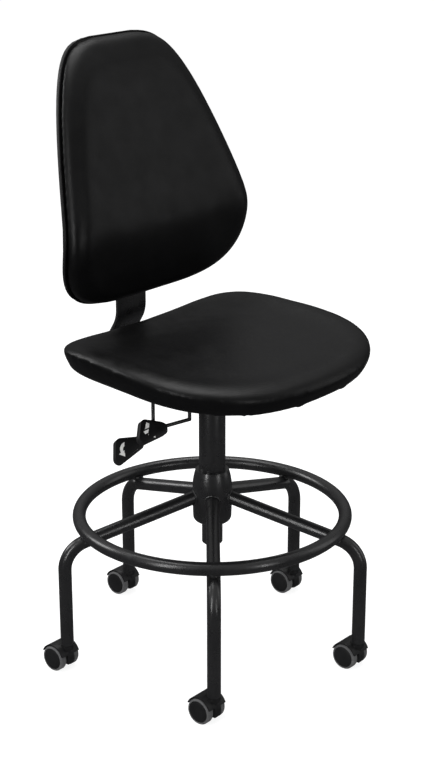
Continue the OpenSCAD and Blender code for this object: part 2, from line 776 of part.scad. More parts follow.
module back_bar() {
    half = bar_t / 2;
    bar_lap = 0.2;
    color(black_steel)
        difference() {
            translate([-bar_w / 2, 0, 0]) rotate([90, 0, 90]) linear_extrude(bar_w) {
                translate([arm_start_y, arm_z - half]) square([bar_low_y - arm_start_y + bar_lap, bar_t]);
                translate(low_centre) ring_sector(bar_low_r, bar_t, -90, bar_lean);
                translate(low_end) rotate(bar_lean) translate([-half, -bar_lap])
                    square([bar_t, bar_slant_l + 2 * bar_lap]);
                translate(high_centre) ring_sector(bar_high_r, bar_t, 180, 180 + bar_lean);
                translate([upright_y - half, upright_z - bar_lap]) square([bar_t, bar_upright_l + bar_lap]);
            }
            for (x = bar_bolt_xs, y = bar_bolt_ys)
                translate([x, y, arm_z - 20]) cylinder(h = 40, d = bar_bolt_d);
            translate([-stud_d / 2 - 1, upright_y - 20, bracket_z - 5])
                cube([stud_d + 2, 40, upright_top_z - bracket_z - 10]);
        }
}

// A flat ring of mean radius r and width w, from angle a to angle b.
module ring_sector(r, w, a, b) {
    difference() {
        circle(r = r + w / 2);
        circle(r = r - w / 2);
        rotate(b) translate([-2 * r, 0]) square([4 * r, 2 * r]);
        rotate(a) translate([-2 * r, -2 * r]) square([4 * r, 2 * r]);
    }
}

// Half-width of the back at height z.
function back_half(z) = z >= back_wide_z
    ? let (t = min(1, (z - back_wide_z) / (back_top_z - back_wide_z)))
        back_half_w * (1 - 0.407 * pow(t, 1.25)) * pow(1 - pow(t, 7), 1 / 7)
    : let (u = min(1, (back_wide_z - z) / (back_wide_z - back_bottom_z)))
        back_half_w * pow(1 - pow(u, 2.81), 0.277);
// The back's front face: fullest at its widest level, with the sides wrapped forward.
function back_y(x, z) = back_front_y + back_wrap * (1 - pow(x / back_half_w, 2))
    + (z > back_wide_z ? back_rise_up : back_rise_low)
        * (sqrt(pow(z - back_wide_z, 2) + pow(back_rise_soft, 2)) - back_rise_soft);

// A point of the outline at angle a from the top, with the upper edge slightly domed.
function back_outline(a) = let (
    reach = power(cos(a), 0.8),
    z = lerp(back_wide_z, reach > 0 ? back_top_z : back_bottom_z, abs(reach)),
    x = sign(sin(a)) * back_half(z)
) [x, z + back_crown * pow(max(0, reach), 6) * (1 - 4 * pow(x / back_half_w, 2))];

// A ring of the back drawn in by scale s about its middle, at depth d behind the front face.
function back_ring(s, d) = [for (i = [0:rings_pts - 1])
    let (
        p = back_outline((i + 0.5) * 360 / rings_pts),
        x = s * p[0],
        z = back_wide_z + s * (p[1] - back_wide_z)
    ) [x, back_y(x, z) + d, z]];

module back_skin(profile) {
    rings = [for (v = profile) back_ring(v[0], v[1])];
    mid_y = back_y(0, back_wide_z);
    polyhedron(
        points = concat([[0, mid_y + profile[0][1], back_wide_z]], [for (r = rings) each r],
            [[0, mid_y + profile[len(profile) - 1][1], back_wide_z]]),
        faces = skin_faces(len(rings), rings_pts));
}

module back_cushion() {
    color(black_vinyl) back_skin(concat(
        [for (s = face_scales) if (s < 0.85) [s, 0]],
        [[0.91, 2], [0.96, 6], [0.985, 12], [1, 20], [1, cushion_depth]],
        inward(cushion_depth)));
}

module screw_holes() {
    for (p = screw_places)
        translate([p[0], 0, p[1]]) rotate([-90, 0, 0]) cylinder(h = 400, d = screw_d);
}

module back_board() {
    rear = board_front + back_board_t;
    color(birch) difference() {
        back_skin(concat(outward(board_front), inward(rear)));
        screw_holes();
    }
}

// Moulded outer shell: a thin dish round the board with a rolled rim.
module back_shell() {
    color(black_plastic) difference() {
        back_skin(concat(
            outward(shell_inner),
            [[0.92, shell_inner], [0.945, shell_inner - 2], [0.955, board_front], [0.998, board_front],
            [0.998, board_front + 6], [0.985, back_depth - 6], [0.95, back_depth - 1.5]],
            inward(back_depth)));
        screw_holes();
    }
}

module back_bracket() {
    steps = 8;
    front = [for (i = [0:steps]) let (z = bracket_z + bracket_h * i / steps)
        [back_y(0, z) + back_depth + flange_gap, z]];
    color(black_plastic)
        difference() {
            union() {
                translate([-flange_half, 0, 0]) rotate([90, 0, 90]) linear_extrude(2 * flange_half)
                    polygon(concat(front, [[flange_rear_y, bracket_z + bracket_h], [flange_rear_y, bracket_z]]));
                translate([-bracket_half, flange_rear_y - 1, bracket_z])
                    cube([2 * bracket_half, bracket_rear_y - flange_rear_y + 1, bracket_h]);
            }
            translate([-bar_w / 2 - slide_gap, upright_y - bar_t / 2 - slide_gap, bracket_z - 1])
                cube([bar_w + 2 * slide_gap, bar_t + 2 * slide_gap, bracket_h + 2]);
            translate([0, stud_front_y - 1, stud_z]) rotate([-90, 0, 0])
                cylinder(h = 40, r = stud_d / 2 + running_gap);
            screw_holes();
        }
}

module back_screws() {
    color(zinc)
        for (p = screw_places) {
            tip_y = back_y(p[0], p[1]) + board_front + 1;
            translate([p[0], tip_y, p[1]]) rotate([-90, 0, 0])
                cylinder(h = flange_rear_y + 1 - tip_y, d = screw_d);
            translate([p[0], flange_rear_y, p[1]]) rotate([-90, 0, 0])
                cylinder(h = screw_head_h, d = 11);
        }
}

// Lobed hand knob behind the bracket.
module back_knob() {
    neck_h = 8;
    grip_h = 18;
    lobe_r = 7;
    color(black_plastic)
        translate([0, bracket_rear_y + 2, stud_z]) rotate([-90, 0, 0])
            difference() {
                union() {
                    cylinder(h = neck_h, d = 22);
                    translate([0, 0, neck_h - 2]) cylinder(h = grip_h, r = knob_d / 2 - 4);
                    for (i = [0:5]) rotate(i * 60) translate([knob_d / 2 - lobe_r, 0, neck_h - 1])
                        cylinder(h = grip_h - 2, r = lobe_r);
                }
                translate([0, 0, -1]) cylinder(h = neck_h + 9, d = stud_d);
            }
}

module knob_stud() {
    color(zinc)
        translate([0, stud_front_y, stud_z]) rotate([-90, 0, 0])
            cylinder(h = bracket_rear_y + 18 - stud_front_y, d = stud_d);
}

hub();
leg(1);  // leg_1
leg(2);  // leg_2
leg(3);  // leg_3
leg(4);  // leg_4
leg(5);  // leg_5
footring();
leg_inserts();
caster_stems();
column_tube();
guide_bush();
piston_rod();
piston();
thrust_washer();
rubber_bumper();
rod_clip();
gas_cylinder();
mechanism_housing();
seat_board();
seat_cushion();
seat_bolts();
tee_nuts();
back_pivot_pin();
lever_pins();
valve_button();
height_lever_rod();
height_paddle();
back_lever_rod();
back_paddle();
pivot_block();
back_bar();
bar_bolts();
back_bracket();
back_board();
back_shell();
back_cushion();
back_screws();
back_knob();
knob_stud();
caster_hood(1);  // caster_hood_1
caster_hood(2);  // caster_hood_2
caster_hood(3);  // caster_hood_3
caster_hood(4);  // caster_hood_4
caster_hood(5);  // caster_hood_5
caster_axle(1);  // caster_axle_1
caster_axle(2);  // caster_axle_2
caster_axle(3);  // caster_axle_3
caster_axle(4);  // caster_axle_4
caster_axle(5);  // caster_axle_5
wheel_discs(1);  // wheel_discs_1
wheel_discs(2);  // wheel_discs_2
wheel_discs(3);  // wheel_discs_3
wheel_discs(4);  // wheel_discs_4
wheel_discs(5);  // wheel_discs_5
wheel_treads(1);  // wheel_treads_1
wheel_treads(2);  // wheel_treads_2
wheel_treads(3);  // wheel_treads_3
wheel_treads(4);  // wheel_treads_4
wheel_treads(5);  // wheel_treads_5
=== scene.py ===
"""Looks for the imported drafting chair. Metres, +Z up, the sitter faces -Y."""
import json
import math

import bmesh
import bpy
import numpy as np
from mathutils import Matrix, Vector

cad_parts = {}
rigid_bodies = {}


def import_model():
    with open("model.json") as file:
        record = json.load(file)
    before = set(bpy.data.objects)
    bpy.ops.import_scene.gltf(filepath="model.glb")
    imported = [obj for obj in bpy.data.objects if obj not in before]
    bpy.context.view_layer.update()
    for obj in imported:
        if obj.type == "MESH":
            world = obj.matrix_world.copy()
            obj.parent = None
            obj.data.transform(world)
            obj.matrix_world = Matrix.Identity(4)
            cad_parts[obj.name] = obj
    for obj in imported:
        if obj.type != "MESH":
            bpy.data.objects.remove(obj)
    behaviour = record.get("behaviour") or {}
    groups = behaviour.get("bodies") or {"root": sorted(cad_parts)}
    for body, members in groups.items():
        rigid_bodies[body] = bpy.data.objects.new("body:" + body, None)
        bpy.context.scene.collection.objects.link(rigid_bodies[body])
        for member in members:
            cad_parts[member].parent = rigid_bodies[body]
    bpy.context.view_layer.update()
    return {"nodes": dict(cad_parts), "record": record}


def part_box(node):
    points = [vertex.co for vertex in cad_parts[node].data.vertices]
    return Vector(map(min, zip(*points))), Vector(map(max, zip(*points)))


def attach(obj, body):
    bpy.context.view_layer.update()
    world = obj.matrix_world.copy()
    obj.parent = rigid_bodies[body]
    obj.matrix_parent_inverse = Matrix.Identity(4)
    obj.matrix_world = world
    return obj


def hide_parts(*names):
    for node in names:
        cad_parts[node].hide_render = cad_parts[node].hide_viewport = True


for old in list(bpy.data.objects):
    bpy.data.objects.remove(old)

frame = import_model()

# ---------------------------------------------------------------- camera
# Solved from the footring's ellipse, the column and the casters' places on the floor.
CAMERA_AT = Vector((-2.2980, -1.9414, 1.6043))
CAMERA_AIM = Vector((0.0065, -0.0077, 0.5490))
CAMERA_LENS = 79.72

scene = bpy.context.scene
camera = bpy.data.objects.new("camera", bpy.data.cameras.new("camera"))
scene.collection.objects.link(camera)
scene.camera = camera
camera.location = CAMERA_AT
camera.rotation_mode = "QUATERNION"
camera.rotation_quaternion = (CAMERA_AIM - CAMERA_AT).to_track_quat("-Z", "Y")
camera.data.sensor_fit = "AUTO"
camera.data.sensor_width = 36.0
camera.data.lens = CAMERA_LENS
camera.data.clip_end = 200.0


# ---------------------------------------------------------------- materials
NOISE_LOW, NOISE_HIGH = 0.3, 0.7  # most of a noise texture's values lie between these


class Look:
    """A material whose colour, roughness and relief come from object-space noise."""

    def __init__(self, name, roughness, metallic=0.0, specular=0.5):
        self.material = bpy.data.materials.new(name)
        self.material.use_nodes = True
        self.tree = self.material.node_tree
        self.shader = self.tree.nodes["Principled BSDF"]
        self.shader.inputs["Roughness"].default_value = roughness
        self.shader.inputs["Metallic"].default_value = metallic
        self.shader.inputs["Specular IOR Level"].default_value = specular
        self.where = self.tree.nodes.new("ShaderNodeTexCoord").outputs["Object"]
        self.bump = None

    def link(self, a, b):
        self.tree.links.new(a, b)

    def stretch(self, x, y, z):
        node = self.tree.nodes.new("ShaderNodeMapping")
        node.inputs["Scale"].default_value = (x, y, z)
        self.link(self.where, node.inputs["Vector"])
        return node.outputs["Vector"]

    def noise(self, scale, detail=3.0, rough=0.55, distortion=0.0, vector=None):
        node = self.tree.nodes.new("ShaderNodeTexNoise")
        node.inputs["Scale"].default_value = scale
        node.inputs["Detail"].default_value = detail
        node.inputs["Roughness"].default_value = rough
        node.inputs["Distortion"].default_value = distortion
        self.link(vector or self.where, node.inputs["Vector"])
        return node.outputs["Fac"]

    def cells(self, scale, smooth):
        node = self.tree.nodes.new("ShaderNodeTexVoronoi")
        node.feature = "SMOOTH_F1"
        node.inputs["Scale"].default_value = scale
        node.inputs["Smoothness"].default_value = smooth
        self.link(self.where, node.inputs["Vector"])
        return node.outputs["Distance"]

    def colour(self, value, *stops):
        """The base colour runs through stops, pairs of a place and a colour, as value rises."""
        node = self.tree.nodes.new("ShaderNodeValToRGB")
        ramp = node.color_ramp
        while len(ramp.elements) < len(stops):
            ramp.elements.new(0.5)
        for element, (place, colour) in zip(ramp.elements, stops):
            element.position = place
            element.color = (*colour, 1.0)
        self.link(value, node.inputs["Fac"])
        self.link(node.outputs["Color"], self.shader.inputs["Base Color"])

    def rough(self, value, low, high):
        node = self.tree.nodes.new("ShaderNodeMapRange")
        node.inputs["From Min"].default_value = NOISE_LOW
        node.inputs["From Max"].default_value = NOISE_HIGH
        node.inputs["To Min"].default_value = low
        node.inputs["To Max"].default_value = high
        self.link(value, node.inputs["Value"])
        self.link(node.outputs["Result"], self.shader.inputs["Roughness"])

    def relief(self, value, strength, distance):
        """Adds a bump on top of those added before it."""
        node = self.tree.nodes.new("ShaderNodeBump")
        node.inputs["Strength"].default_value = strength
        node.inputs["Distance"].default_value = distance
        self.link(value, node.inputs["Height"])
        if self.bump:
            self.link(self.bump, node.inputs["Normal"])
        self.bump = node.outputs["Normal"]
        self.link(self.bump, self.shader.inputs["Normal"])


def vinyl():
    look = Look("vinyl", 0.40, specular=0.16)
    look.colour(look.noise(9.0, 5.0), (0.30, (0.0011, 0.0011, 0.0012)), (0.72, (0.0024, 0.0024, 0.0026)))
    look.rough(look.noise(26.0, 4.0), 0.34, 0.44)
    look.relief(look.noise(14.0, 2.0), 0.04, 0.0020)
    look.relief(look.cells(820.0, 0.25), 0.30, 0.00035)
    look.relief(look.noise(2600.0, 2.0), 0.12, 0.00012)
    return look.material


def powder_coat():
    look = Look("powder_coat", 0.30, specular=0.50)
    look.colour(look.noise(14.0, 4.0), (0.35, (0.0085, 0.0085, 0.0090)), (0.70, (0.0130, 0.0130, 0.0137)))
    look.rough(look.noise(60.0, 5.0), 0.24, 0.36)
    look.relief(look.noise(700.0, 1.0), 0.04, 0.00005)
    look.relief(look.noise(160.0, 1.0), 0.04, 0.0001)
    return look.material


def plastic():
    look = Look("moulded_plastic", 0.46, specular=0.26)
    look.colour(look.noise(22.0, 4.0), (0.35, (0.0060, 0.0060, 0.0064)), (0.72, (0.0100, 0.0100, 0.0106)))
    look.rough(look.noise(45.0, 5.0), 0.36, 0.50)
    look.relief(look.noise(1700.0, 3.0, 0.7), 0.24, 0.00014)
    return look.material


# A board coloured near-black, with wood grain; the dark tone is set in the colour stops below.
def near_black_board():
    look = Look("near_black_board", 0.6, specular=0.2)
    grain = look.noise(11.0, 6.0, 0.62, 0.8, vector=look.stretch(1.0, 9.0, 40.0))
    look.colour(grain, (0.28, (0.0022, 0.0020, 0.0018)), (0.75, (0.0060, 0.0055, 0.0050)))
    look.rough(grain, 0.5, 0.68)
    look.relief(grain, 0.25, 0.0004)
    return look.material


def tread():
    look = Look("tread_rubber", 0.62, specular=0.4)
    look.colour(look.noise(70.0, 6.0, 0.65),
                (0.30, (0.050, 0.050, 0.052)), (0.55, (0.078, 0.078, 0.080)), (0.80, (0.096, 0.096, 0.098)))
    look.rough(look.noise(120.0, 4.0), 0.52, 0.74)
    look.relief(look.noise(800.0, 3.0), 0.25, 0.0002)
    return look.material


def dark_rubber():
    look = Look("dark_rubber", 0.7, specular=0.3)
    look.colour(look.noise(50.0), (0.3, (0.010, 0.010, 0.010)), (0.7, (0.020, 0.020, 0.020)))
    look.relief(look.noise(900.0), 0.3, 0.0002)
    return look.material


def bright_steel():
    look = Look("ground_steel", 0.24, metallic=1.0)
    brushed = look.noise(60.0, 4.0, vector=look.stretch(1.0, 1.0, 26.0))
    look.colour(brushed, (0.3, (0.42, 0.42, 0.44)), (0.7, (0.62, 0.62, 0.64)))
    look.rough(brushed, 0.18, 0.34)
    look.relief(brushed, 0.08, 0.0001)
    return look.material


def zinc():
    look = Look("zinc_plate", 0.36, metallic=1.0)
    look.colour(look.noise(90.0, 5.0, 0.6, 0.4), (0.3, (0.36, 0.37, 0.36)), (0.7, (0.58, 0.58, 0.55)))
    look.rough(look.noise(160.0, 4.0), 0.28, 0.46)
    look.relief(look.noise(700.0), 0.15, 0.0001)
    return look.material


def nylon():
    look = Look("acetal", 0.42)
    look.colour(look.noise(40.0), (0.3, (0.62, 0.62, 0.58)), (0.7, (0.76, 0.76, 0.72)))
    look.relief(look.noise(900.0), 0.1, 0.0001)
    return look.material


def white_mark():
    look = Look("white_mark", 0.45)
    look.colour(look.noise(160.0, 4.0), (0.3, (0.72, 0.72, 0.70)), (0.7, (0.86, 0.86, 0.85)))
    look.relief(look.noise(1500.0), 0.12, 0.0001)
    return look.material


def floor_look():
    look = Look("pale_floor", 0.85, specular=0.05)
    look.colour(look.noise(0.8, 2.0), (0.3, (0.335, 0.335, 0.335)), (0.7, (0.350, 0.350, 0.350)))
    look.shader.inputs["Emission Color"].default_value = (1.0, 1.0, 1.0, 1.0)
    look.shader.inputs["Emission Strength"].default_value = 0.86
    return look.material


LOOKS = {
    "steel_black": powder_coat(), "steel_bright": bright_steel(), "steel_zinc": zinc(),
    "plastic_black": plastic(), "nylon_white": nylon(), "rubber_black": dark_rubber(),
    "tread_grey": tread(), "plywood": near_black_board(), "vinyl_black": vinyl(),
}
MARK = white_mark()
SLOT_OF = {row["node"]: row["material_slot"] for row in frame["record"]["subparts"]}

# How far each carried-over node's edges are eased, in metres.
EASED = {
    "hub": 0.0012, "back_bar": 0.0012, "back_bracket": 0.002, "pivot_block": 0.001,
    "mechanism_housing": 0.0007, "back_knob": 0.0014, "height_paddle": 0.0018, "back_paddle": 0.0018,
    "column_tube": 0.0006, "seat_board": 0.0012, "back_shell": 0.0, "back_board": 0.0,
}
CASTER_EASE, OTHER_EASE, WIDE_EASE = 0.0005, 0.0003, 0.001
MOST_FACES = 9000  # a node with more faces is curved all over and isn't eased
WELD_GAP = 0.00001
EASE_ANGLE, CRISP_ANGLE = math.radians(32), math.radians(34)


def dress(node, obj):
    """Gives a carried-over node its look, smooth shading and eased edges."""
    look = LOOKS[SLOT_OF[node]]
    for slot in obj.material_slots:
        slot.material = look
    if not obj.material_slots:
        obj.data.materials.append(look)
    if "custom_normal" in obj.data.attributes:
        obj.data.attributes.remove(obj.data.attributes["custom_normal"])
    for face in obj.data.polygons:
        face.use_smooth = True
    weld = obj.modifiers.new("weld", "WELD")
    weld.merge_threshold = WELD_GAP
    on_caster = node.startswith(("caster_hood", "wheel_discs"))
    ease = EASED.get(node, CASTER_EASE if on_caster else OTHER_EASE)
    if ease > 0 and len(obj.data.polygons) < MOST_FACES:
        bevel = obj.modifiers.new("ease", "BEVEL")
        bevel.width = ease
        bevel.segments = 3 if ease >= WIDE_EASE else 2
        bevel.limit_method = "ANGLE"
        bevel.angle_limit = EASE_ANGLE
    split = obj.modifiers.new("crisp", "EDGE_SPLIT")
    split.split_angle = CRISP_ANGLE


for node_name, node_object in frame["nodes"].items():
    dress(node_name, node_object)


# ---------------------------------------------------------------- mesh helpers
TUBE_SIDES = 10


def new_mesh(name, points, faces, look, body, smooth=True):
    mesh = bpy.data.meshes.new(name)
    mesh.from_pydata([tuple(map(float, p)) for p in points], [], faces)
    mesh.validate()
    obj = bpy.data.objects.new(name, mesh)
    scene.collection.objects.link(obj)
    work = bmesh.new()
    work.from_mesh(mesh)
    bmesh.ops.recalc_face_normals(work, faces=work.faces)
    work.to_mesh(mesh)
    work.free()
    for face in mesh.polygons:
        face.use_smooth = smooth
    mesh.materials.append(look)
    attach(obj, body)
    return obj


def tube(name, path, radii, body, slot):
    """A closed loop of round tube along a path of points, with one radius or one per point."""
    path = np.asarray(path, float)
    count = len(path)
    radii = np.broadcast_to(np.asarray(radii, float), (count,))
    ahead = np.roll(path, -1, 0) - np.roll(path, 1, 0)
    ahead /= np.linalg.norm(ahead, axis=1)[:, None]
    outward = path - path.mean(0)
    points = []
    for i in range(count):
        across = outward[i] - (outward[i] @ ahead[i]) * ahead[i]
        across /= np.linalg.norm(across)
        beside = np.cross(ahead[i], across)
        for k in range(TUBE_SIDES):
            a = 2 * math.pi * k / TUBE_SIDES
            points.append(path[i] + radii[i] * (math.cos(a) * across + math.sin(a) * beside))
    faces = []
    for i in range(count):
        here, after = i * TUBE_SIDES, (i + 1) % count * TUBE_SIDES
        for k in range(TUBE_SIDES):
            m = (k + 1) % TUBE_SIDES
            faces.append((here + k, here + m, after + m, after + k))
    return new_mesh(name, points, faces, LOOKS[slot], body)


def rings_mesh(rings, first, last):
    """Points and faces of a closed skin: a point, a stack of equal rings, a point."""
    n = len(rings[0])
    points = [first] + [p for ring in rings for p in ring] + [last]
    faces = [(0, 1 + (i + 1) % n, 1 + i) for i in range(n)]
    for j in range(len(rings) - 1):
        here, above = 1 + j * n, 1 + (j + 1) * n
        for i in range(n):
            k = (i + 1) % n
            faces.append((here + i, here + k, above + k, above + i))
    end, last_ring = len(points) - 1, 1 + (len(rings) - 1) * n
    faces += [(end, last_ring + i, last_ring + (i + 1) % n) for i in range(n)]
    return points, faces


def signed_power(v, n):
    """v to the power n, with v's own sign."""
    return math.copysign(abs(v) ** n, v)


# ---------------------------------------------------------------- seat shape
board_low, board_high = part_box("seat_board")
# These repeat part.scad's sizes for the seat, in metres.
SEAT_W, SEAT_FRONT, SEAT_REAR, SEAT_MID = 0.545, 0.273, 0.190, -0.020
FRONT_POWER, REAR_POWER, SEAT_TAPER = 2.38, 5.8, 0.33
SEAT_SLOPE, SEAT_FALL, SEAT_DIP = 0.058, 0.2, 0.022
RIDGE_Z = board_low.z + 0.053
WALL_H, BOLSTER, RIM, BOARD_SCALE = 0.036, 0.012, 0.943, 0.8
# These are the visual model's own.
RING_N = 160
BULGE = 1.004  # how far the seat's wall stands out at its top, as a share of the outline
LIFT = 0.0004  # how far the pad's flat underside clears the board


def seat_point(a, s):
    """The seat's outline at angle a, drawn in by scale s."""
    ahead = math.sin(a) < 0
    n = FRONT_POWER if ahead else REAR_POWER
    half = SEAT_MID + SEAT_FRONT if ahead else SEAT_REAR - SEAT_MID
    y = signed_power(math.sin(a), 2 / n) * half
    x = signed_power(math.cos(a), 2 / n) * SEAT_W / 2 * (1 - SEAT_TAPER * y)
    return s * x, SEAT_MID + s * y


def seat_rise(x, y):
    """How the seat's edge rises and falls over the plan: a slope, a fall and a dip at the rear."""
    back = max(0.0, (y - SEAT_MID) / (SEAT_REAR - SEAT_MID))
    return SEAT_SLOPE * y - SEAT_FALL * y * y - SEAT_DIP * (1 - (2 * x / SEAT_W) ** 2) * back ** 2


def seat_ring(s, height):
    ring = []
    for i in range(RING_N):
        x, y = seat_point(2 * math.pi * i / RING_N, s)
        ring.append((x, y, height(x, y)))
    return ring


def seat_skin():
    """The cushion's closed skin, from its underside round the wall to the dish on top."""
    # Draw-in and height, as a share of the rolled edge's height above the wall.
    top = [(1.0, 0.0), (0.992, 0.28), (0.98, 0.55), (0.962, 0.8), (0.935, 0.96), (0.905, 1.0), (0.875, 0.95),
           (0.845, 0.82), (0.81, 0.62), (0.77, 0.42), (0.72, 0.24), (0.66, 0.1), (0.56, 0.0), (0.45, -0.08),
           (0.3, -0.14), (0.15, -0.18)]
    # Draw-in and share of the way from beside the board up to the wall's foot.
    flare = [(BOARD_SCALE + 0.008, 0), (BOARD_SCALE + 0.03, 0), (0.87, 0.25), (0.91, 0.6), (RIM, 1)]
    under = board_high.z + LIFT
    foot = board_low.z + 0.001
    rings = [seat_ring(s, lambda x, y: under) for s in (0.2, 0.5, 0.7, BOARD_SCALE + 0.006)]
    for s, t in flare:
        rings.append(seat_ring(s, lambda x, y: foot * (1 - t) + t * (RIDGE_Z - WALL_H + seat_rise(x, y))))
    for t in (0.2, 0.45, 0.7, 0.88):
        s = RIM + (BULGE - RIM) * t ** 0.8
        rings.append(seat_ring(s, lambda x, y: RIDGE_Z - WALL_H * (1 - t) + seat_rise(x, y)))
    for s, share in top:
        rings.append(seat_ring(s, lambda x, y: RIDGE_Z + seat_rise(x, y) + BOLSTER * share))
    first = (0, SEAT_MID, under)
    last = (0, SEAT_MID, RIDGE_Z + seat_rise(0, SEAT_MID) - BOLSTER * 0.2)
    return rings_mesh(rings, first, last)


# ---------------------------------------------------------------- back shape
# These repeat part.scad's sizes for the back, in metres.
HALF_W, WIDE_Z, LOW_Z, TOP_Z = 0.2455, 0.8425, 0.700, 1.171
FRONT_Y, WRAP, CROWN, PAD = 0.0925, 0.018, 0.008, 0.038
RISE_UP, RISE_LOW, RISE_SOFT = 0.323, 0.22, 0.03


def back_half(z):
    """Half the back's width at height z."""
    if z >= WIDE_Z:
        t = min(1.0, (z - WIDE_Z) / (TOP_Z - WIDE_Z))
        return HALF_W * (1 - 0.407 * t ** 1.25) * (1 - t ** 7) ** (1 / 7)
    u = min(1.0, (WIDE_Z - z) / (WIDE_Z - LOW_Z))
    return HALF_W * (1 - u ** 2.81) ** 0.277


def back_y(x, z):
    """The back's front face: fullest at its widest level, with the sides wrapped forward."""
    rise = RISE_UP if z > WIDE_Z else RISE_LOW
    return FRONT_Y + WRAP * (1 - (x / HALF_W) ** 2) + rise * (math.hypot(z - WIDE_Z, RISE_SOFT) - RISE_SOFT)


def back_outline(a):
    """The outline at angle a from the top, with the upper edge slightly domed."""
    reach = signed_power(math.cos(a), 0.8)
    z = WIDE_Z + abs(reach) * ((TOP_Z if reach > 0 else LOW_Z) - WIDE_Z)
    x = math.copysign(back_half(z), math.sin(a))
    return x, z + CROWN * max(0.0, reach) ** 6 * (1 - 4 * (x / HALF_W) ** 2)


def back_ring(s, depth):
    """A ring of the back drawn in by scale s, at a depth behind the front face."""
    ring = []
    for i in range(RING_N):
        x, z = back_outline(2 * math.pi * (i + 0.5) / RING_N)
        x, z = s * x, WIDE_Z + s * (z - WIDE_Z)
        ring.append((x, back_y(x, z) + depth, z))
    return ring


def back_skin():
    """The cushion's closed skin, from the middle of its front face round the edge to its flat rear."""
    rear = PAD - 0.0006
    # Draw-in and depth behind the front face.
    profile = [(0.15, 0.0), (0.35, 0.0), (0.55, 0.0), (0.72, 0.0), (0.82, 0.0), (0.862, 0.0002),
               (0.885, 0.0008), (0.905, 0.0028), (0.925, 0.0052), (0.945, 0.0078), (0.965, 0.0108),
               (0.985, 0.0150), (0.996, 0.022), (0.998, 0.030), (0.994, rear), (0.9, rear), (0.7, rear),
               (0.45, rear), (0.2, rear)]
    rings = [back_ring(s, depth) for s, depth in profile]
    mid = back_y(0, WIDE_Z)
    return rings_mesh(rings, (0, mid, WIDE_Z), (0, mid + rear, WIDE_Z))


# ---------------------------------------------------------------- cushions
VOXEL = 0.005
PRESSURE = 3.0
CLOTH_FRAMES = 20
SPREAD_ROUNDS = 40
HELD_SHARE = 0.15  # a point freer than this isn't pinned in the cloth simulation


def smooth_verts(obj, rounds):
    work = bmesh.new()
    work.from_mesh(obj.data)
    for _ in range(rounds):
        bmesh.ops.smooth_vert(work, verts=work.verts, factor=0.5, use_axis_x=True, use_axis_y=True,
                              use_axis_z=True)
    work.to_mesh(obj.data)
    work.free()


def apply_modifier(obj, name):
    bpy.context.view_layer.objects.active = obj
    with bpy.context.temp_override(object=obj, active_object=obj, selected_objects=[obj]):
        bpy.ops.object.modifier_apply(modifier=name)


def per_vertex(obj, what):
    """One row of three numbers per vertex: "co" for places, "normal" for normals."""
    values = np.empty(len(obj.data.vertices) * 3)
    obj.data.vertices.foreach_get(what, values)
    return values.reshape(-1, 3)


def place_verts(obj, points):
    obj.data.vertices.foreach_set("co", points.ravel())
    obj.data.update()


def spread(obj, values):
    """Evens out one value per point over the mesh, so that the foam swells without creases."""
    ends = np.empty(len(obj.data.edges) * 2, int)
    obj.data.edges.foreach_get("vertices", ends)
    a, b = ends[0::2], ends[1::2]
    count = np.bincount(ends, minlength=len(values)).astype(float)
    for _ in range(SPREAD_ROUNDS):
        total = np.bincount(a, values[b], len(values)) + np.bincount(b, values[a], len(values))
        values = 0.5 * values + 0.5 * total / np.maximum(count, 1)
    return values


def inflate(obj, free):
    """Swells the pad as cloth, held where free is low, and returns where its points end up."""
    group = obj.vertex_groups.new(name="pinned")
    for i in np.nonzero(free < HELD_SHARE)[0]:
        group.add([int(i)], 1.0, "REPLACE")
    cloth = obj.modifiers.new("cloth", "CLOTH")
    cloth.settings.quality = 4
    cloth.settings.mass = 0.4
    cloth.settings.tension_stiffness = 18
    cloth.settings.compression_stiffness = 18
    cloth.settings.shear_stiffness = 8
    cloth.settings.bending_stiffness = 2.5
    cloth.settings.use_pressure = True
    cloth.settings.uniform_pressure_force = PRESSURE
    cloth.settings.vertex_group_mass = "pinned"
    cloth.settings.effector_weights.gravity = 0
    cloth.collision_settings.use_collision = False
    cloth.collision_settings.use_self_collision = False
    cloth.point_cache.frame_start = 1
    cloth.point_cache.frame_end = CLOTH_FRAMES
    for number in range(1, CLOTH_FRAMES + 1):
        scene.frame_set(number)
    swollen = obj.evaluated_get(bpy.context.evaluated_depsgraph_get())
    after = np.array([v.co for v in swollen.data.vertices], float)
    obj.modifiers.remove(cloth)
    scene.frame_set(1)
    return after


def cushion(name, skin, body, held, cap, shrink):
    """A foam pad: the skin is remeshed, drawn in by shrink, inflated as cloth by up to cap and smoothed.

    held gives each point's share, 0 where it rests on its board and 1 where it is free to swell.
    """
    points, faces = skin
    obj = new_mesh(name, points, faces, LOOKS["vinyl_black"], body)
    remesh = obj.modifiers.new("remesh", "REMESH")
    remesh.mode = "VOXEL"
    remesh.voxel_size = VOXEL
    remesh.adaptivity = 0.0
    apply_modifier(obj, "remesh")
    smooth_verts(obj, 4)
    rest = per_vertex(obj, "co")
    outward = per_vertex(obj, "normal")
    free = held(rest, outward)
    start = rest - outward * (shrink * free)[:, None]
    place_verts(obj, start)
    after = inflate(obj, free)
    swell = np.clip(((after - start) * outward).sum(1), 0, cap) * free
    swell = spread(obj, swell) * free
    place_verts(obj, start + outward * swell[:, None])
    smooth_verts(obj, 2)
    subdivision = obj.modifiers.new("subdivision", "SUBSURF")
    subdivision.levels = 1
    subdivision.render_levels = 1
    apply_modifier(obj, "subdivision")
    for face in obj.data.polygons:
        face.use_smooth = True
    return obj


def seat_held(points, outward):
    """Held on the board and round its edge; free on the sides and top."""
    low = board_high.z + 0.004
    return np.clip((points[:, 2] - low) / 0.012, 0, 1) * np.clip((outward[:, 2] + 0.75) / 0.5, 0, 1)


def back_held(points, _outward):
    """Held on its rear face; free in front and at the sides."""
    face = np.array([back_y(x, z) for x, _, z in points])
    depth = points[:, 1] - face
    return np.clip((PAD - 0.006 - depth) / 0.014, 0, 1)


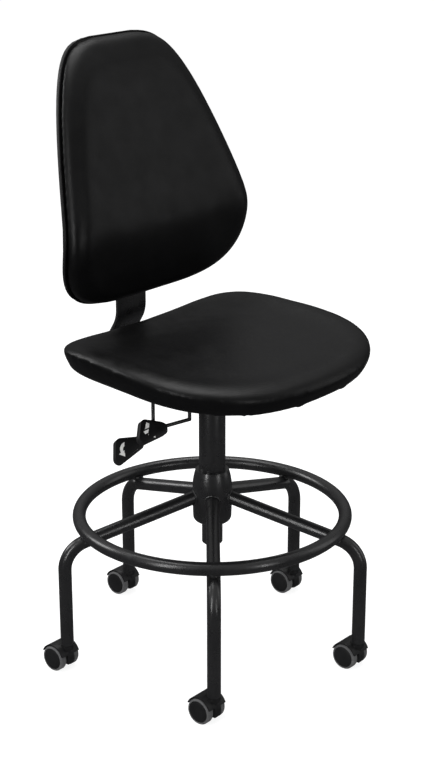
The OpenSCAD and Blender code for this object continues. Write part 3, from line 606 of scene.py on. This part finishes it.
seat_pad = cushion("seat_pad", seat_skin(), "seat", seat_held, cap=0.0045, shrink=0.0022)
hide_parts("seat_cushion")
back_pad = cushion("back_pad", back_skin(), "backrest", back_held, cap=0.0040, shrink=0.0020)
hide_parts("back_cushion")

# The cover's sewn edge: a thin welt where the back's cover meets its shell.
WELT_R = 0.0016
tube("back_welt", back_ring(0.998, PAD - 0.0004), WELT_R, "backrest", "vinyl_black")

# ---------------------------------------------------------------- welds on the base
# The first two lines repeat part.scad's sizes, in metres.
TURN, FALL = math.radians(-139.25), math.radians(15.6)
LEG_R, ROOT_R, ROOT_Z, RING_R = 0.0127, 0.038, 0.323, 0.2555
HUB_BEAD, RING_BEAD, RING_WELD_R, BEAD_LUMPS, BEAD_OUT = 0.0024, 0.0026, 0.0072, 0.10, 0.0004
HUB_WELD_POINTS, RING_WELD_POINTS, LEGS = 72, 48, 5
UP = np.array([0.0, 0.0, 1.0])
hub_low, hub_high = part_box("hub")
ring_low, ring_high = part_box("footring")
RING_Z = (ring_low.z + ring_high.z) / 2


def hub_radius(z):
    """The hub's barrel shape, as in part.scad."""
    wide = hub_low.z + 0.068
    if z > wide:
        return 0.038 - 0.006 * ((z - wide) / (hub_high.z - wide)) ** 2
    return 0.038 - 0.0015 * ((wide - z) / (wide - hub_low.z)) ** 2


def bead(name, path, radius, waves):
    """A weld bead along a closed path, with a ripple of so many waves."""
    turns = [2 * math.pi * waves * i / len(path) for i in range(len(path))]
    tube(name, path, [radius * (1 + BEAD_LUMPS * math.sin(turn)) for turn in turns], "base", "steel_black")


def hub_weld(name, out, side):
    """The bead round a leg where it leaves the hub; out and side are the leg's own directions."""
    along = out * math.cos(FALL) - UP * math.sin(FALL)
    lift = np.cross(along, side) * -1
    root = out * ROOT_R + UP * ROOT_Z
    path = []
    for i in range(HUB_WELD_POINTS):
        a = 2 * math.pi * i / HUB_WELD_POINTS
        p = root + (LEG_R + BEAD_OUT) * (math.cos(a) * side + math.sin(a) * lift)
        for _ in range(8):  # slides the point along the leg until it lies on the hub
            p = p + along * (hub_radius(p[2]) - math.hypot(p[0], p[1]))
        path.append(p)
    bead(name, path, HUB_BEAD, 18)


def ring_weld(name, out, side):
    """The bead where the footring rests on a leg: a saddle, as two crossed tubes make."""
    lean = out * math.sin(FALL) + UP * math.cos(FALL)
    along = out * math.cos(FALL) - UP * math.sin(FALL)
    touch = out * RING_R + UP * RING_Z - lean * LEG_R
    path = []
    for i in range(RING_WELD_POINTS):
        a = 2 * math.pi * i / RING_WELD_POINTS
        u, v = RING_WELD_R * math.cos(a), RING_WELD_R * math.sin(a)
        path.append(touch + along * u + side * v + lean * (u * u - v * v) / (4 * LEG_R))
    bead(name, path, RING_BEAD, 12)


for leg in range(LEGS):
    turn = TURN + math.radians(360 / LEGS * leg)
    leg_out = np.array([math.cos(turn), math.sin(turn), 0.0])
    leg_side = np.array([-math.sin(turn), math.cos(turn), 0.0])
    hub_weld(f"hub_weld_{leg + 1}", leg_out, leg_side)
    ring_weld(f"ring_weld_{leg + 1}", leg_out, leg_side)


# ---------------------------------------------------------------- marks on the paddles
MARK_SIZE, MARK_T, ARC_STEPS = 1.3, 0.0004, 18
PADDLE_TILT = math.radians(50)
MARK_PLACE = (-0.044, 0.004, 0.00545)  # from a paddle's root to the middle of its mark
LEVER_Z = board_low.z - 0.0205


def mark(name, outlines, place, body):
    """Flat white shapes with a little thickness, set on a paddle's face."""
    points, faces = [], []
    for outline in outlines:
        n, base = len(outline), len(points)
        for height in (0, MARK_T):
            points += [place @ Vector((MARK_SIZE * x, MARK_SIZE * y, height)) for x, y in outline]
        faces.append(tuple(base + i for i in reversed(range(n))))
        faces.append(tuple(base + n + i for i in range(n)))
        faces += [(base + i, base + (i + 1) % n, base + n + (i + 1) % n, base + n + i) for i in range(n)]
    new_mesh(name, points, faces, MARK, body, smooth=False)


def arc_band(cy, r, w, start, stop):
    """The outline of a band of width w along an arc about (0, cy), from start to stop in degrees."""
    angles = [math.radians(start + (stop - start) * i / ARC_STEPS) for i in range(ARC_STEPS + 1)]
    outer = [((r + w / 2) * math.cos(a), cy + (r + w / 2) * math.sin(a)) for a in angles]
    inner = [((r - w / 2) * math.cos(a), cy + (r - w / 2) * math.sin(a)) for a in reversed(angles)]
    return outer + inner


def paddle_place(x, y, z, droop):
    """From a paddle whose root is at (x, y, z), and which droops by so many degrees."""
    return (Matrix.Translation((x, y, z)) @ Matrix.Rotation(math.radians(-droop), 4, "Y")
            @ Matrix.Rotation(PADDLE_TILT, 4, "X") @ Matrix.Translation(MARK_PLACE))


mark("mark_height", [
    [(-0.013, -0.0022), (0.013, -0.0022), (0.013, 0.0022), (-0.013, 0.0022)],
    [(-0.009, 0.0042), (0.009, 0.0042), (0.0, 0.0125)],
    [(-0.009, -0.0042), (0.0, -0.0125), (0.009, -0.0042)],
], paddle_place(-0.130, 0.0, LEVER_Z - 0.0665, 2), "height_lever")
mark("mark_back", [
    arc_band(-0.004, 0.0105, 0.0046, 20, 165),
    [(-0.0165, -0.0005), (-0.0045, -0.0005), (-0.0105, -0.0085)],
    [(0.004, -0.0105), (0.0145, -0.0105), (0.0145, -0.0062), (0.004, -0.0062)],
], paddle_place(-0.150, 0.042, LEVER_Z - 0.097, 14), "back_lever")

# ---------------------------------------------------------------- floor and light
FLOOR_HALF = 40.0
corners = [(x * FLOOR_HALF, y * FLOOR_HALF, 0) for x, y in ((-1, -1), (1, -1), (1, 1), (-1, 1))]
floor_mesh = bpy.data.meshes.new("floor")
floor_mesh.from_pydata(corners, [], [(0, 1, 2, 3)])
floor = bpy.data.objects.new("floor", floor_mesh)
floor.location.z = -0.0004  # just under the wheels
scene.collection.objects.link(floor)
floor.visible_glossy = False
floor_mesh.materials.append(floor_look())

# The camera sees a white background; the object is lit by a dome that is dark below and light above.
DOME_LOW, DOME_HIGH = (0.07, 0.07, 0.072, 1.0), (0.60, 0.60, 0.60, 1.0)
world = bpy.data.worlds.new("studio")
scene.world = world
world.use_nodes = True
nodes, links = world.node_tree.nodes, world.node_tree.links
plain = nodes["Background"]
plain.inputs["Color"].default_value = (1.0, 1.0, 1.0, 1.0)
plain.inputs["Strength"].default_value = 1.0
dome = nodes.new("ShaderNodeBackground")
dome.inputs["Strength"].default_value = 1.0
split = nodes.new("ShaderNodeSeparateXYZ")
shade = nodes.new("ShaderNodeValToRGB")
for element, position, colour in zip(shade.color_ramp.elements, (0.10, 0.90), (DOME_LOW, DOME_HIGH)):
    element.position = position
    element.color = colour
blend = nodes.new("ShaderNodeMixShader")
links.new(nodes.new("ShaderNodeTexCoord").outputs["Generated"], split.inputs["Vector"])
links.new(split.outputs["Z"], shade.inputs["Fac"])
links.new(shade.outputs["Color"], dome.inputs["Color"])
links.new(nodes.new("ShaderNodeLightPath").outputs["Is Camera Ray"], blend.inputs["Fac"])
links.new(dome.outputs["Background"], blend.inputs[1])
links.new(plain.outputs["Background"], blend.inputs[2])
links.new(blend.outputs["Shader"], nodes["World Output"].inputs["Surface"])


def softbox(name, place, aim, width, height, power):
    """A rectangular lamp at a place, turned to face its aim, with its size in metres and power in watts."""
    light = bpy.data.lights.new(name, "AREA")
    light.shape = "RECTANGLE"
    light.size, light.size_y = width, height
    light.energy = power
    obj = bpy.data.objects.new(name, light)
    obj.location = place
    obj.rotation_mode = "QUATERNION"
    obj.rotation_quaternion = (Vector(aim) - Vector(place)).to_track_quat("-Z", "Y")
    scene.collection.objects.link(obj)


softbox("top", (0.2, 0.5, 3.6), (0.0, 0.0, 0.6), 2.8, 2.2, 96.0)
softbox("key", (-3.0, -0.2, 1.5), (0.0, 0.0, 0.6), 0.35, 2.2, 42.0)
softbox("side", (2.5, -2.2, 1.5), (0.0, 0.1, 0.8), 1.5, 2.8, 15.0)
softbox("front", (-0.6, -3.4, 1.1), (0.0, 0.0, 0.5), 0.3, 1.8, 18.0)
softbox("rim", (-1.4, 3.0, 2.2), (0.0, 0.0, 0.7), 1.2, 1.4, 50.0)
scene.view_settings.view_transform = "Standard"
